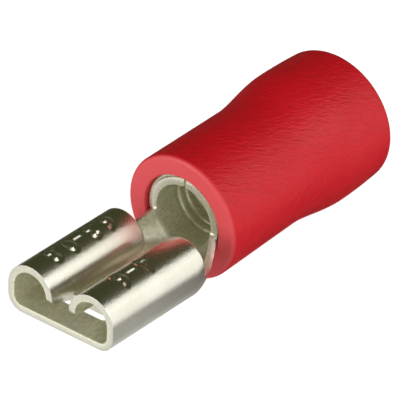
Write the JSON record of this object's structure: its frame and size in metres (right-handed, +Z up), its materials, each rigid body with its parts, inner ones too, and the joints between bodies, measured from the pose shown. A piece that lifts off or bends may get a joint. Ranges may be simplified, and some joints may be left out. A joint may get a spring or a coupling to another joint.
{
  "type": "insulated female spade terminal",
  "caption": "Insulated push-on spade terminal: a rolled tab socket on a crimp barrel, in a flared plastic sleeve with a metal support sleeve inside.",
  "frame": {"origin": "on the axis of the wire barrel, at the barrel's front edge", "axes": "+Y along the barrel from the tab socket to the wire entry, +X across the socket, +Z up, away from the socket's floor"},
  "size_m": [0.0076, 0.0217, 0.0076],
  "materials": {
    "terminal": "tin plated, satin",
    "support_sleeve": "tin plated, satin",
    "insulation": "matte, finely crinkled"
  },
  "bodies": {
    "root": {"terminal": "terminal", "support_sleeve": "support_sleeve", "insulation": "insulation"}
  },
  "joints": []
}
